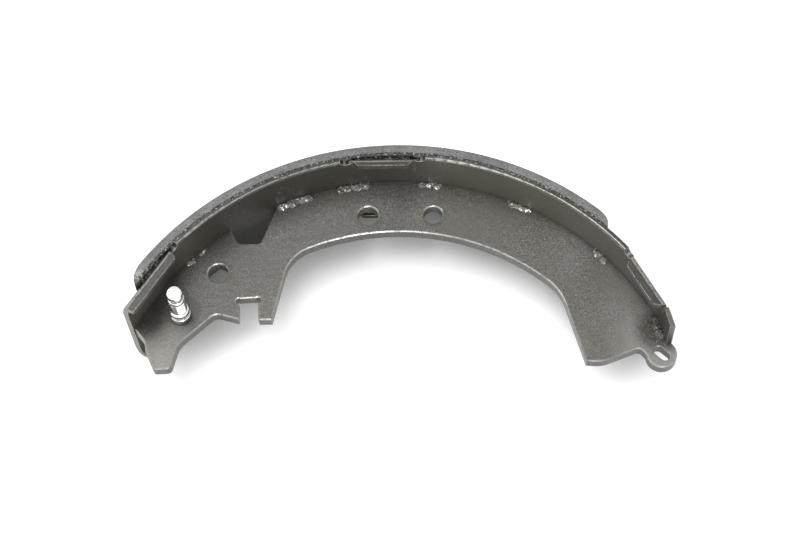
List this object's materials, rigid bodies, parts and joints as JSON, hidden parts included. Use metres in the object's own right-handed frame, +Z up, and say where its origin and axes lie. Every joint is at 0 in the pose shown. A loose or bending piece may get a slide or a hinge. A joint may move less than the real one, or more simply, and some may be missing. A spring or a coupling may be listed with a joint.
{
  "type": "drum brake shoe",
  "caption": "Curved drum brake shoe: a rolled steel table on a flat web, a bonded friction lining, punched holes, a strut notch and a riveted lever pin.",
  "frame": {"origin": "middle of the outer box in X and Y, at the base: the plane that the table's lower edge lies on", "axes": "+X along the chord of the crescent towards the slotted lug, +Y from the open side towards the lining's crown, +Z up along the drum axis towards the lever pin's free end"},
  "size_m": [0.225, 0.102, 0.0474],
  "materials": {
    "table_paint": "speckled grey coating, semi-gloss",
    "web_paint": "speckled grey coating, semi-gloss",
    "lining": "rough moulded friction material",
    "pin_zinc": "bright zinc plate",
    "weld": "rough bright weld metal"
  },
  "bodies": {
    "root": {"shoe_table": "table_paint", "shoe_web": "web_paint", "friction_lining": "lining", "lever_pin": "pin_zinc", "weld_beads": "weld"}
  },
  "joints": []
}
